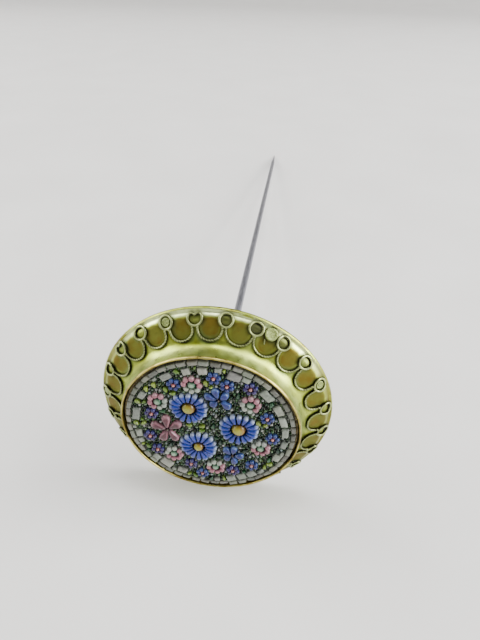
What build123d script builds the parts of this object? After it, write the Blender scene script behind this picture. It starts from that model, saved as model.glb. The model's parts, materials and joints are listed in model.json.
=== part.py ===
from build123d import *
import math
import os
from dataclasses import dataclass

# A hat pin: a round gilt brass head, set with a mosaic of glass flowers, on a long steel pin.
# Millimetres. Every piece is drawn in the head's own frame: the origin is the middle of the rim,
# +X runs across the face, +Y runs up it and +Z comes out of it, so the pin runs along -Z.
# lay_down() then turns the whole pin onto the table, where it rests on its rim and its tip.

# Head: a stamped dish with a wire round its rim, closed by a flat back
HEAD_RADIUS = 14.0
EDGE_WIRE_RADIUS = 0.35
SHEET = 0.3
BRIM_TOP = 2.05
BRIM_SLOPE = 24.0
FOOT_RADIUS = 10.75
SHOULDER_RADIUS = 12.9
SHOULDER_BEND = 1.2
SHOULDER_END = 18.5
BACK_RADIUS = 13.28

# Bezel: a coved collar with a rolled lip, and the tray that it holds
COLLAR_RADIUS = 10.4
COLLAR_TOP = 3.9
COLLAR_WALL = 0.35
COVE_TOP = 3.4
COVE_BELLY = (0.1, 0.55)
LIP_HEIGHT = 0.3
TRAY_WALL = 0.2
TRAY_TOP = 3.6
BED_TOP = 3.45

# Pin: a steel wire with a long point, whose tapered tang is held in a cone soldered to the back
PIN_RADIUS = 0.6
TANG_RADIUS = 0.4
PIN_LENGTH = 135.4
POINT_LENGTH = 12.0
TIP_RADIUS = 0.05
WASHER_RADIUS = 3.0
SOCKET_RADII = (1.9, 0.9)
SOCKET_LENGTH = 5.0

# Filigree: rings between scallops, all of round wire laid on the brim
SCALLOPS = 24
FIRST_RING = 9.5
LAYING_ERROR = 1.5
LAYING_PEAK = 40.0
SCALLOP_START = 10.95
SCALLOP_BEND = 1.36
SCALLOP_WIRE = 0.15
RING_BEND = 0.72
RING_WIRE = 0.17
RING_SHOULDER = 53.0
HEART_RINGS = (6, 9)
DISC_RINGS = (1, 7, 11)
DISC_RADIUS = 0.48
DISC_THICKNESS = 0.12
TREFOIL_ANGLE = 63.0
TREFOIL_LEAN = 48.0
TREFOIL_RADIUS = 0.72
TREFOIL_THICKNESS = 0.25
STUB_WIRE = 0.12
STUB_LENGTH = 0.5

# Mosaic: heights are over the bed, and every gap between two glass pieces is at least GROUT
GROUT = 0.05
BORDER_RADII = (9.3, 9.8)
BORDER_BLOCKS = 50
INNER_PLACES = 120
INNER_EDGE = 9.16
INNER_HALVES = (0.44, 0.36, 0.28, 0.2)
FILL_PITCH = 0.3
FILL_LIMIT = 9.0
FILL_HALF = 0.13
HEIGHTS = {
    "fill": 0.65,
    "border": 0.75,
    "leaf": 0.8,
    "button": 0.85,
    "rosette": 0.9,
    "petal": 0.95,
    "eye": 1.15,
}

# Large flowers: x, y, outer radius, eye radius
DAISIES = {
    "daisy_upper_left": (-2.35, 3.0, 2.2, 0.78),
    "daisy_right": (3.35, 0.5, 2.3, 0.82),
    "daisy_lower": (-1.3, -3.05, 2.3, 0.62),
}
DAISY_PETALS = 16
PETAL_TIP = 0.3
PETAL_SPREAD = 0.1
PETAL_TAIL = 0.13
PETAL_GAP = 0.07

# Five-petal flowers: the centre, then the middle of each petal's round end
PETAL_START = 0.36
CENTRE_RADIUS = 0.15
LILY = ((-4.9, -0.65), [(-5.05, 0.9), (-3.75, 0.2), (-4.1, -2.0), (-5.5, -2.2), (-6.4, -0.3)])
VIOLET_UPPER = ((1.05, 4.75), [(-0.15, 5.1), (0.66, 5.9), (1.7, 5.4), (2.0, 3.95), (0.44, 4.1)])
VIOLET_LOWER = ((2.75, -3.9), [(2.0, -3.15), (2.9, -2.9), (3.7, -3.9), (3.0, -5.0), (2.1, -4.5)])

# Rosettes, half pink and half white: x, y, and the direction of the pink half
ROSETTES = [
    (-1.9, 6.5, 90),
    (-5.85, 3.5, 150),
    (4.5, 4.5, 45),
    (6.0, -2.2, -70),
    (0.75, -6.4, -75),
    (-4.35, -4.85, -50),
]
ROSETTE_PETALS = 8
ROSETTE_EYE = 0.5
ROSETTE_TAIL = (0.7, 0.13)
ROSETTE_HEAD = (0.86, 0.28)

# Small dark flowers: x, y
BLUE_BUTTONS = [(-3.9, 6.2), (0.45, 7.7), (1.9, 6.8), (6.45, 2.7), (7.26, -0.45), (5.1, -5.4), (-0.9, -7.9)]
PURPLE_BUTTONS = [(4.4, 6.75), (-6.7, 1.5), (-7.1, -2.2), (-6.35, -4.45), (-2.3, -6.4), (2.86, -6.8)]
BUTTON_PETALS = 6
BUTTON_EYE = 0.2
BUTTON_TAIL = (0.36, 0.1)
BUTTON_HEAD = (0.55, 0.24)

# Sprigs of leaves: x, y of the stalk, and the direction that it points
LIGHT_SPRIGS = [
    (-5.9, 5.3, 115),
    (-6.9, 4.6, 160),
    (-7.7, 2.9, 100),
    (-8.2, -0.6, 95),
    (-8.1, 0.6, 270),
    (-7.8, -3.7, 250),
    (-4.6, 4.9, 60),
    (-3.0, 7.9, 110),
    (-1.6, 8.5, 80),
    (-2.9, 0.25, 0),
    (-1.4, 0.25, 10),
    (-0.15, 6.4, 60),
    (1.7, 8.5, 60),
    (5.9, 1.4, 80),
    (6.7, -5.0, -40),
    (-5.9, -6.2, 230),
    (-3.6, -7.2, 240),
    (-2.2, -8.2, 260),
    (1.7, -8.0, -80),
    (-0.4, -0.2, 200),
]
DARK_SPRIGS = [
    (3.1, 7.4, 80),
    (3.2, 6.0, 260),
    (6.1, 5.0, 40),
    (6.6, 4.2, 20),
    (8.0, 1.2, 80),
    (7.9, -1.9, -80),
    (0.2, 2.3, 250),
    (0.5, 1.0, 260),
    (1.2, -1.5, 220),
    (4.5, -2.7, 230),
    (-4.5, -2.9, 250),
    (3.9, -6.8, -60),
    (-5.9, 2.1, 0),
    (7.2, -3.6, -100),
    (0.6, -4.7, -40),
    (3.0, -2.4, 20),
    (-3.2, -5.7, 270),
    (0.4, -8.3, 250),
    (-7.9, -5.0, 80),
]

# Pale slabs beside the border: x, y, length along the border, width across it
SLABS = [
    (-4.75, 7.15, 1.8, 1.1),
    (-2.5, 8.2, 0.9, 0.8),
    (-0.75, 8.5, 1.2, 0.95),
    (0.7, 8.6, 1.1, 0.8),
    (2.65, 8.15, 1.5, 0.95),
    (3.9, 7.85, 1.0, 0.75),
    (6.2, 5.9, 1.7, 1.0),
    (7.6, 3.95, 1.5, 0.9),
    (8.2, 2.35, 1.4, 0.8),
    (8.6, 0.7, 1.3, 0.75),
    (8.6, -1.3, 1.1, 0.7),
    (5.95, -6.2, 1.4, 1.0),
    (3.95, -7.7, 1.2, 0.9),
    (-1.75, -8.5, 0.9, 0.8),
    (-3.45, -7.9, 1.2, 0.9),
    (-5.35, -6.75, 1.6, 1.1),
    (-7.15, -4.85, 1.5, 1.0),
    (-8.45, -2.0, 1.1, 0.8),
    (-8.5, 1.2, 1.8, 0.85),
    (-7.6, 4.1, 1.1, 0.8),
]
SLAB_SIZES = (1.0, 0.85, 0.7)
LEAF_FAN = (0, 55, -55)
LEAF_SIZES = (1.0, 0.78, 0.6)
LEAF_TAIL = (0.22, 0.11)
LEAF_HEAD = (0.66, 0.25)


@dataclass
class Tessera:
    """One piece of glass, seen from the front: a round-ended taper, or a square-cut block."""

    tail: tuple
    tail_radius: float
    head: tuple
    head_radius: float
    square: bool = False

    def length(self):
        return math.dist(self.tail, self.head)

    def heading(self):
        return math.degrees(math.atan2(self.head[1] - self.tail[1], self.head[0] - self.tail[0]))

    def corners(self):
        """Points round the outline, in order."""
        tilt = self.heading()
        if self.square:
            diagonals = [(self.head, self.head_radius, turn) for turn in (-45, 45)]
            diagonals += [(self.tail, self.tail_radius, turn) for turn in (135, 225)]
            return [polar(math.sqrt(2) * half, tilt + turn, end) for end, half, turn in diagonals]
        front = [polar(self.head_radius, tilt + turn, self.head) for turn in range(-90, 91, 30)]
        return front + [polar(self.tail_radius, tilt + turn, self.tail) for turn in range(90, 271, 30)]

    def outline(self):
        """The closed outline, with the tail at the origin and the head on +X."""
        length, tail, head = self.length(), self.tail_radius, self.head_radius
        if self.square:
            corners = [(-tail, -tail), (length + head, -head), (length + head, head), (-tail, tail)]
            return Polyline(*corners, close=True)
        lean = (tail - head) / length if length else 0.0
        rise = math.sqrt(1 - lean**2)
        tail_top = (tail * lean, tail * rise)
        head_top = (length + head * lean, head * rise)
        tail_end = (tail_top[0], -tail_top[1])
        head_end = (head_top[0], -head_top[1])
        return Curve() + [
            Line(tail_top, head_top),
            ThreePointArc(head_top, (length + head, 0), head_end),
            Line(head_end, tail_end),
            ThreePointArc(tail_end, (-tail, 0), tail_top),
        ]

    def solid(self, height):
        """The piece as a straight rod of glass, standing on the bed."""
        face = make_face(self.outline())
        place = Pos(self.tail[0], self.tail[1], BED_TOP) * Rot(0, 0, self.heading())
        return place * extrude(face, amount=height)


def polar(radius, angle, centre=(0.0, 0.0)):
    """The point at a distance and a direction, in degrees, from a centre."""
    turn = math.radians(angle)
    return centre[0] + radius * math.cos(turn), centre[1] + radius * math.sin(turn)


def turned(*edges):
    """A solid of revolution about the head's axis, from edges drawn as radius and height."""
    profile = Plane.XZ * make_face(Curve() + list(edges))
    return revolve(profile, Axis.Z)


def turned_ring(inner, outer, low, high):
    """A flat ring about the head's axis."""
    return turned(Polyline((inner, low), (outer, low), (outer, high), (inner, high), close=True))


# The brim, and places on it


def shoulder_centre():
    """The centre of the bend between the sloping brim and its edge, as radius and height."""
    slope = math.radians(BRIM_SLOPE)
    height = BRIM_TOP - (SHOULDER_RADIUS - FOOT_RADIUS) * math.tan(slope)
    radius = SHOULDER_RADIUS - SHOULDER_BEND * math.sin(slope)
    return radius, height - SHOULDER_BEND * math.cos(slope)


def on_shoulder(lean, lift=0.0):
    """A point over the bend, as radius and height. Its normal rises from the rim by lean degrees."""
    return polar(SHOULDER_BEND + lift, lean, shoulder_centre())


def shoulder_place(angle, lean, lift=0.0):
    """A frame on the bend: z along the normal, x outwards down the slope, y along the rim."""
    radius, height = on_shoulder(lean, lift)
    return Rot(0, 0, angle) * Pos(radius, 0, height) * Rot(0, 90 - lean, 0)


def slope_place(angle, radius, lift):
    """A frame over the sloping brim: z along the normal, x outwards down the slope."""
    height = BRIM_TOP - (radius - FOOT_RADIUS) * math.tan(math.radians(BRIM_SLOPE))
    return Rot(0, 0, angle) * Pos(radius, 0, height) * Rot(0, BRIM_SLOPE, 0) * Pos(0, 0, lift)


def ring_angle(index):
    """The direction of a ring on the face. The rings were laid by hand, so they drift a little."""
    angle = FIRST_RING + index * 360 / SCALLOPS
    return angle + LAYING_ERROR * math.cos(math.radians(2 * (angle - LAYING_PEAK)))


# Metal pieces


def brim_plate():
    """The stamped dish: flat under the bezel, then a slope, then a bend down to the rim."""
    upper_lean = 90 - BRIM_SLOPE
    start = on_shoulder(upper_lean)
    middle = on_shoulder((upper_lean + SHOULDER_END) / 2)
    rim = on_shoulder(SHOULDER_END)
    inner_rim = on_shoulder(SHOULDER_END, -SHEET)
    inner_middle = on_shoulder((upper_lean + SHOULDER_END) / 2, -SHEET)
    inner_start = on_shoulder(upper_lean, -SHEET)
    inner_foot = FOOT_RADIUS - SHEET * math.tan(math.radians(BRIM_SLOPE / 2))
    return turned(
        Line((0, BRIM_TOP), (FOOT_RADIUS, BRIM_TOP)),
        Line((FOOT_RADIUS, BRIM_TOP), start),
        ThreePointArc(start, middle, rim),
        Line(rim, inner_rim),
        ThreePointArc(inner_rim, inner_middle, inner_start),
        Line(inner_start, (inner_foot, BRIM_TOP - SHEET)),
        Line((inner_foot, BRIM_TOP - SHEET), (0, BRIM_TOP - SHEET)),
        Line((0, BRIM_TOP - SHEET), (0, BRIM_TOP)),
    )


def edge_wire():
    """The round wire that the brim and the back are soldered to."""
    return Torus(HEAD_RADIUS - EDGE_WIRE_RADIUS, EDGE_WIRE_RADIUS)


def back_plate():
    """The flat back, inside the edge wire."""
    return Cylinder(BACK_RADIUS, SHEET)


def bezel_collar():
    """The collar round the mosaic, coved where it meets the brim."""
    inner = COLLAR_RADIUS - COLLAR_WALL
    cove_middle = (COLLAR_RADIUS + COVE_BELLY[0], BRIM_TOP + COVE_BELLY[1])
    return turned(
        ThreePointArc((FOOT_RADIUS, BRIM_TOP), cove_middle, (COLLAR_RADIUS, COVE_TOP)),
        Line((COLLAR_RADIUS, COVE_TOP), (COLLAR_RADIUS, COLLAR_TOP)),
        Line((COLLAR_RADIUS, COLLAR_TOP), (inner, COLLAR_TOP)),
        Line((inner, COLLAR_TOP), (inner, BRIM_TOP)),
        Line((inner, BRIM_TOP), (FOOT_RADIUS, BRIM_TOP)),
    )


def bezel_lip():
    """The rolled lip on top of the collar."""
    inner = COLLAR_RADIUS - COLLAR_WALL
    crown = ((inner + COLLAR_RADIUS) / 2, COLLAR_TOP + LIP_HEIGHT)
    return turned(
        ThreePointArc((inner, COLLAR_TOP), crown, (COLLAR_RADIUS, COLLAR_TOP)),
        Line((COLLAR_RADIUS, COLLAR_TOP), (inner, COLLAR_TOP)),
    )


def mosaic_tray():
    """The thin metal tray that the mosaic was made in."""
    outer = COLLAR_RADIUS - COLLAR_WALL
    inner = outer - TRAY_WALL
    floor = BRIM_TOP + TRAY_WALL
    wall = [(outer, BRIM_TOP), (outer, TRAY_TOP), (inner, TRAY_TOP), (inner, floor)]
    return turned(Polyline((0, BRIM_TOP), *wall, (0, floor), close=True))


def mastic_bed():
    """The dark cement that the glass stands in."""
    radius = COLLAR_RADIUS - COLLAR_WALL - TRAY_WALL
    floor = BRIM_TOP + TRAY_WALL
    return Pos(0, 0, (floor + BED_TOP) / 2) * Cylinder(radius, BED_TOP - floor)


def socket_washer():
    """The round base of the pin's socket, soldered to the back over the end of the tang."""
    top = -SHEET / 2
    return turned_ring(TANG_RADIUS, WASHER_RADIUS, top - SHEET, top)


def socket_end():
    """The height of the socket's narrow end."""
    return -SHEET * 1.5 - SOCKET_LENGTH


def pin_socket():
    """The hollow cone that holds the pin."""
    top = -SHEET * 1.5
    wide, narrow = SOCKET_RADII
    corners = [(TANG_RADIUS, top), (wide, top), (narrow, socket_end()), (PIN_RADIUS, socket_end())]
    return turned(Polyline(*corners, close=True))


def pin_stem():
    """The steel pin: a tang inside the socket, the straight shank and the long point."""
    top = -SHEET / 2
    shank_end = POINT_LENGTH - PIN_LENGTH
    corners = [
        (0, top),
        (TANG_RADIUS, top),
        (TANG_RADIUS, top - SHEET),
        (PIN_RADIUS, socket_end()),
        (PIN_RADIUS, shank_end),
        (TIP_RADIUS, -PIN_LENGTH),
        (0, -PIN_LENGTH),
    ]
    return turned(Polyline(*corners, close=True))


# Filigree


def scallop_wires():
    """A horseshoe of wire between each two rings, open towards the rim."""
    ends = [(SCALLOP_BEND, -SCALLOP_BEND), (SCALLOP_BEND, SCALLOP_BEND)]
    path = ThreePointArc(ends[0], (0, 0), ends[1])
    section = Plane(origin=path @ 0, z_dir=path % 0) * Circle(SCALLOP_WIRE)
    wire = sweep(section, path=path)
    scallops = []
    for index in range(SCALLOPS):
        angle = (ring_angle(index) + ring_angle(index + 1)) / 2
        scallops.append(slope_place(angle, SCALLOP_START, SCALLOP_WIRE) * wire)
    return scallops


def ring_place(index):
    """Where a ring lies: over the bend, a wire's radius clear of it."""
    return shoulder_place(ring_angle(index), RING_SHOULDER, RING_WIRE)


def ring_wires():
    """A closed ring of wire on the bend, over each two scallops' ends."""
    ring = Torus(RING_BEND, RING_WIRE)
    return [ring_place(index) * ring for index in range(SCALLOPS) if index not in HEART_RINGS]


def heart_wires():
    """Rings that were bent into hearts, with the dent towards the rim."""
    dent = (0.3, 0.0)
    lobe = (0.68, 0.42)
    side = (0.1, 0.74)
    flank = (-0.45, 0.5)
    point = (-0.72, 0.0)
    half = Curve() + [ThreePointArc(dent, lobe, side), ThreePointArc(side, flank, point)]
    section = Plane(origin=half @ 0, z_dir=half % 0) * Circle(RING_WIRE)
    right = sweep(section, path=half, transition=Transition.ROUND)
    left = mirror(right, Plane.XZ)
    joints = [Pos(*end, 0) * Sphere(RING_WIRE) for end in (dent, point)]
    heart = right + left + joints
    return [ring_place(index) * heart for index in HEART_RINGS]


def ring_discs():
    """Small flat discs soldered inside a few of the rings."""
    disc = Pos(0, 0, DISC_THICKNESS / 2) * Cylinder(DISC_RADIUS, DISC_THICKNESS)
    return [shoulder_place(ring_angle(index), RING_SHOULDER) * disc for index in DISC_RINGS]


def trefoil_disc():
    """A larger disc between two rings, which makes a trefoil with them."""
    place = shoulder_place(TREFOIL_ANGLE, TREFOIL_LEAN, TREFOIL_THICKNESS / 2)
    return place * Cylinder(TREFOIL_RADIUS, TREFOIL_THICKNESS)


def trefoil_wires():
    """Short ends of wire left beside the disc: a small V towards the rim and a straight stub."""
    stub = Cylinder(STUB_WIRE, STUB_LENGTH, rotation=(0, 90, 0))
    fork = shoulder_place(TREFOIL_ANGLE + 4.4, 33, STUB_WIRE) * Rot(0, 0, 50)
    near_arm = fork * Pos(0.3, 0, 0) * stub
    far_arm = fork * Rot(0, 0, 95) * Pos(0.42, 0, 0) * stub
    lower = slope_place(TREFOIL_ANGLE + 1.2, 12.35, STUB_WIRE) * Rot(0, 0, 20) * stub
    return [near_arm, far_arm, lower]


# Mosaic


def ring_of_petals(centre, count, tail, head, first=0.0):
    """Petals round a centre. tail and head give each end's distance and radius."""
    petals = []
    for index in range(count):
        angle = first + index * 360 / count
        petals.append(
            Tessera(polar(tail[0], angle, centre), tail[1], polar(head[0], angle, centre), head[1])
        )
    return petals


def round_piece(x, y, radius):
    """An eye: a round piece of glass."""
    return Tessera((x, y), radius, (x + 0.01, y), radius)


def daisy_petals(name):
    """Petals round a daisy's eye, some a little longer than others."""
    x, y, outer, eye = DAISIES[name]
    tail = (eye + PETAL_GAP + PETAL_TAIL, PETAL_TAIL)
    petals = ring_of_petals((x, y), DAISY_PETALS, tail, (outer - PETAL_TIP, PETAL_TIP))
    for index, petal in enumerate(petals):
        reach = outer - PETAL_TIP + PETAL_SPREAD * math.sin(5 * index + x)
        petal.head = polar(reach, index * 360 / DAISY_PETALS, (x, y))
    return petals


def daisy_eye(name):
    x, y, _, eye = DAISIES[name]
    return [round_piece(x, y, eye)]


def open_flower(flower, tail_radius, head_radius):
    """A flower of large petals, each from near the centre to its own round end."""
    centre, ends = flower
    petals = []
    for end in ends:
        reach = PETAL_START / math.dist(centre, end)
        tail = tuple(c + reach * (e - c) for c, e in zip(centre, end))
        petals.append(Tessera(tail, tail_radius, end, head_radius))
    return petals


def rosette_petals(pink):
    """The pink or the white petals of all the rosettes."""
    chosen = []
    for x, y, direction in ROSETTES:
        petals = ring_of_petals((x, y), ROSETTE_PETALS, ROSETTE_TAIL, ROSETTE_HEAD, direction)
        half = ROSETTE_PETALS // 4
        for index, petal in enumerate(petals):
            faces = min(index, ROSETTE_PETALS - index) <= half
            if faces == pink:
                chosen.append(petal)
    return chosen


def button_petals(places):
    """The petals of small flowers, each flower turned a different way."""
    petals = []
    for x, y in places:
        petals += ring_of_petals((x, y), BUTTON_PETALS, BUTTON_TAIL, BUTTON_HEAD, 17 * x)
    return petals


def sprig(x, y, direction, size):
    """Three leaves on one stalk, fanned out."""
    leaves = []
    for turn in LEAF_FAN:
        tail = polar(LEAF_TAIL[0] * size, direction + turn, (x, y))
        head = polar(LEAF_HEAD[0] * size, direction + turn, (x, y))
        leaves.append(Tessera(tail, LEAF_TAIL[1] * size, head, LEAF_HEAD[1] * size))
    return leaves


def border_blocks():
    """The outer ring of cut blocks, each a little wider or narrower than the next."""
    inner, outer = BORDER_RADII
    half = (outer - inner) / 2
    blocks = []
    for index in range(BORDER_BLOCKS):
        angle = index * 360 / BORDER_BLOCKS
        reach = 0.26 + 0.03 * math.sin(5 * index)
        middle = polar(inner + half, angle + 0.2 * math.sin(3 * index))
        tail = polar(reach, angle - 90, middle)
        head = polar(reach, angle + 90, middle)
        blocks.append(Tessera(tail, half, head, half, square=True))
    return blocks


def slab(x, y, length, width):
    """One pale slab, lying along the border."""
    direction = math.degrees(math.atan2(y, x)) + 90 + 4 * math.sin(7 * x)
    reach = (length - width) / 2
    tail = polar(-reach, direction, (x, y))
    head = polar(reach, direction, (x, y))
    return Tessera(tail, width / 2, head, width / 2, square=True)


def inner_blocks():
    """Pale blocks against the border, listed from the largest that each place could take."""
    blocks = []
    for half in INNER_HALVES:
        for index in range(INNER_PLACES):
            angle = index * 360 / INNER_PLACES
            middle = polar(INNER_EDGE - half, angle)
            tail = polar(half / 3, angle - 87, middle)
            head = polar(half / 3, angle + 93, middle)
            blocks.append(Tessera(tail, half, head, half, square=True))
    return blocks


def fill_blocks():
    """Tiny squares in rings about the centre, each turned a little differently."""
    blocks = []
    ring = 1
    while ring * FILL_PITCH < FILL_LIMIT:
        radius = ring * FILL_PITCH
        count = int(2 * math.pi * radius / FILL_PITCH)
        for index in range(count):
            angle = (index + 0.5 * (ring % 2)) * 360 / count
            x, y = polar(radius, angle)
            tilt = angle + 25 * math.sin(9 * index + ring)
            tail = polar(0.03, tilt + 180, (x, y))
            head = polar(0.03, tilt, (x, y))
            blocks.append(Tessera(tail, FILL_HALF, head, FILL_HALF, square=True))
        ring += 1
    return blocks


def parted_along(edge_of, other, gap):
    """Whether one of a piece's edges has the other piece wholly outside it, by the gap or more."""
    corners = edge_of.corners()
    others = other.corners()
    for start, end in zip(corners, corners[1:] + corners[:1]):
        span = math.dist(start, end)
        across = ((end[1] - start[1]) / span, (start[0] - end[0]) / span)
        edge = start[0] * across[0] + start[1] * across[1]
        if min(x * across[0] + y * across[1] for x, y in others) >= edge + gap:
            return True
    return False


def is_clear(piece, placed):
    """Whether a piece keeps the grout's width from all those already in the bed."""
    for other in placed:
        reach = piece.length() + other.length() + 2 * (piece.head_radius + other.head_radius)
        if math.dist(piece.head, other.head) > reach:
            continue
        if not parted_along(piece, other, GROUT) and not parted_along(other, piece, GROUT):
            return False
    return True


def set_where_clear(pieces, placed):
    """Set the pieces that still have room, and add them to those already placed."""
    kept = []
    for piece in pieces:
        if is_clear(piece, placed):
            kept.append(piece)
            placed.append(piece)
    return kept


def mosaic():
    """Every glass piece by node, with its height: flowers, slabs, leaves, blocks, then filling."""
    nodes = {}
    for name in DAISIES:
        nodes[f"{name}_petals"] = (daisy_petals(name), "petal")
        nodes[f"{name}_eye"] = (daisy_eye(name), "eye")
    nodes["lily_petals"] = (open_flower(LILY, 0.15, 0.48), "petal")
    nodes["violet_upper_petals"] = (open_flower(VIOLET_UPPER, 0.12, 0.42), "petal")
    nodes["violet_lower_petals"] = (open_flower(VIOLET_LOWER, 0.12, 0.4), "petal")
    centres = [LILY[0], VIOLET_UPPER[0], VIOLET_LOWER[0]]
    nodes["flower_centres"] = ([round_piece(x, y, CENTRE_RADIUS) for x, y in centres], "petal")
    nodes["rosette_pink_petals"] = (rosette_petals(True), "rosette")
    nodes["rosette_white_petals"] = (rosette_petals(False), "rosette")
    nodes["rosette_eyes"] = ([round_piece(x, y, ROSETTE_EYE) for x, y, _ in ROSETTES], "petal")
    nodes["button_blue_petals"] = (button_petals(BLUE_BUTTONS), "button")
    nodes["button_purple_petals"] = (button_petals(PURPLE_BUTTONS), "button")
    eyes = [round_piece(x, y, BUTTON_EYE) for x, y in BLUE_BUTTONS + PURPLE_BUTTONS]
    nodes["button_eyes"] = (eyes, "rosette")
    nodes["border_blocks"] = (border_blocks(), "border")
    placed = [piece for pieces, _ in nodes.values() for piece in pieces]
    slabs = []
    for size in SLAB_SIZES:
        slabs += [slab(x, y, size * length, size * width) for x, y, length, width in SLABS]
    slabs = set_where_clear(slabs, placed)
    for name, sprigs in (("light_leaves", LIGHT_SPRIGS), ("dark_leaves", DARK_SPRIGS)):
        leaves = [leaf for size in LEAF_SIZES for place in sprigs for leaf in sprig(*place, size)]
        nodes[name] = (set_where_clear(leaves, placed), "leaf")
    nodes["inner_blocks"] = (slabs + set_where_clear(inner_blocks(), placed), "leaf")
    filling = set_where_clear(fill_blocks(), placed)
    kinds = ("white", "green", "dark")
    for index, kind in enumerate(kinds):
        nodes[f"{kind}_filling"] = (filling[index :: len(kinds)], "fill")
    return nodes


# Laying the pin down, and writing the parts


def resting_tilt():
    """How far the face looks up when the rim and the tip both touch the table, in degrees."""
    rim_centre = HEAD_RADIUS - EDGE_WIRE_RADIUS
    across = rim_centre - TIP_RADIUS
    return math.degrees(
        math.atan2(across, PIN_LENGTH) + math.asin(EDGE_WIRE_RADIUS / math.hypot(across, PIN_LENGTH))
    )


def lay_down(shape):
    """Turn a piece from the head's frame to the resting pose, with the origin under its middle."""
    tilt = math.radians(resting_tilt())
    rim_centre = HEAD_RADIUS - EDGE_WIRE_RADIUS
    height = rim_centre * math.cos(tilt) + EDGE_WIRE_RADIUS
    lip_radius = COLLAR_RADIUS - COLLAR_WALL / 2
    front = -((COLLAR_TOP + LIP_HEIGHT) * math.cos(tilt) + lip_radius * math.sin(tilt))
    back = PIN_LENGTH * math.cos(tilt)
    return Pos(0, -(front + back) / 2, height) * Rot(90 - resting_tilt(), 0, 0) * shape


def all_nodes():
    """Every node's solids, in the head's frame."""
    nodes = {
        "pin_stem": [pin_stem()],
        "pin_socket": [pin_socket()],
        "socket_washer": [socket_washer()],
        "back_plate": [back_plate()],
        "brim_plate": [brim_plate()],
        "edge_wire": [edge_wire()],
        "bezel_collar": [bezel_collar()],
        "bezel_lip": [bezel_lip()],
        "mosaic_tray": [mosaic_tray()],
        "mastic_bed": [mastic_bed()],
        "scallop_wires": scallop_wires(),
        "ring_wires": ring_wires(),
        "heart_wires": heart_wires(),
        "ring_discs": ring_discs(),
        "trefoil_disc": [trefoil_disc()],
        "trefoil_wires": trefoil_wires(),
    }
    for name, (pieces, kind) in mosaic().items():
        nodes[name] = [piece.solid(HEIGHTS[kind]) for piece in pieces]
    return nodes


os.makedirs("parts", exist_ok=True)
for node, shapes in all_nodes().items():
    solids = [solid for shape in shapes for solid in lay_down(shape).solids()]
    piece = solids[0] if len(solids) == 1 else Compound(children=solids)
    export_step(piece, f"parts/{node}.step")
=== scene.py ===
import json
import math
import random

import bmesh
import bpy
import numpy as np
from mathutils import Matrix, Vector, kdtree, noise
from mathutils.bvhtree import BVHTree


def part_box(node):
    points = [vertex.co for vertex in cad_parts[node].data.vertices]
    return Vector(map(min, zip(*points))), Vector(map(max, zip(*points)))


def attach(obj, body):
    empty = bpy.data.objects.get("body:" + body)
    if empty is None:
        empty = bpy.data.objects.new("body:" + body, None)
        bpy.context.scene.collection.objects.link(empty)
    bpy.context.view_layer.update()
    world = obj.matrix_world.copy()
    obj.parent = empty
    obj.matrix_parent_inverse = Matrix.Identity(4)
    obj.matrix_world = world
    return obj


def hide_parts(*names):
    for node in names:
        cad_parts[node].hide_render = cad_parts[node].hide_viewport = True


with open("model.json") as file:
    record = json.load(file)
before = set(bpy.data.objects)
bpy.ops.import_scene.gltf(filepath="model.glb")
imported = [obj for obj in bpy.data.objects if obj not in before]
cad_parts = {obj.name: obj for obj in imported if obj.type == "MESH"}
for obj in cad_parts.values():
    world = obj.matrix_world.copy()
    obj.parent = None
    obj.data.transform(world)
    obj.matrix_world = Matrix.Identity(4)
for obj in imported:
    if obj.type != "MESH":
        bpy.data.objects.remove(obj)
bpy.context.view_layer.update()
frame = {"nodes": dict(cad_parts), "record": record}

# The head's pieces are worked out in the head's own frame, in millimetres: the origin is the
# middle of the rim, +x runs across the face, +y up it and +z out of it.

MM = 0.001
FULL_TURN = 2 * math.pi
chance = random.Random(7)

# Camera, from the floor under the head's middle, in millimetres and degrees
CAMERA_OFFSET = (6.3, -33.7)
CAMERA_HEIGHT = 55.2
CAMERA_AZIMUTH = 6.05
CAMERA_ELEVATION = 39.2
CAMERA_ROLL = 1.6
CAMERA_LENS = 24.2
SENSOR = 36.0

# Floor, in metres: flat and round, with a sweep up to a wall all round it
FLOOR_RADIUS = 0.9
SWEEP_RADIUS = 0.8
WALL_TOP = 1.5
SWEEP_STEPS = 32
SWEEP_SEGMENTS = 96

# Brim and collar. COVE_PULL is how far the cove runs straight at its top and its foot.
# SOLDER_TURNS are degrees round the edge wire's section, where the sheet wraps it.
BRIM_SEGMENTS = 1080
BRIM_STEP = 0.084
SOLDER_GAP = 0.12
SOLDER_TURNS = (78, 62, 48)
SOLDER_LIFT = 1.02
COVE_END = 11.3
COVE_PULL = (1.0, 0.75)
COVE_STEPS = 36
DENT_DEPTH = 0.02
DENT_SCALE = 0.45
LIP_WIDTH = 0.27
LIP_RISE = 0.94
LIP_SINK = 0.02
LIP_SKIRT = 0.5
LIP_STEPS = 8
LIP_SEGMENTS = 540
LIP_WAVER = 0.08
RAY_HEIGHT = 10

# Marks on the brim: radii, and angles round the head from +x. A blur is how far one fades.
# Inside the scallops the brass is painted brown as the reflection of a red surface: where that
# reaches and how it fades.
SCALLOP_MIDDLE = 12.3
SCALLOP_TOP = 12.75
SCALLOP_FADE = 2
SCALLOP_INSIDE = 1.35
SCALLOP_BLUR = 0.5
# Rubbing with a painted highlight along the top of the outer bend, and a painted highlight on the
# cove beside the lip.
RUBBED_HIGHLIGHT_FROM = 13.25
RUBBED_HIGHLIGHT_BLUR = 0.2
RUBBED_HIGHLIGHT_TOP = math.radians(88)
RUBBED_HIGHLIGHT_SPREAD = 1.0
# How brown the outer bend is painted, as shade, away from its top.
EDGE_BROWN_SHADE = 0.85
LIP_RUBBED_HIGHLIGHT = 0.25
LIP_BLUR = 0.15
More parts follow.
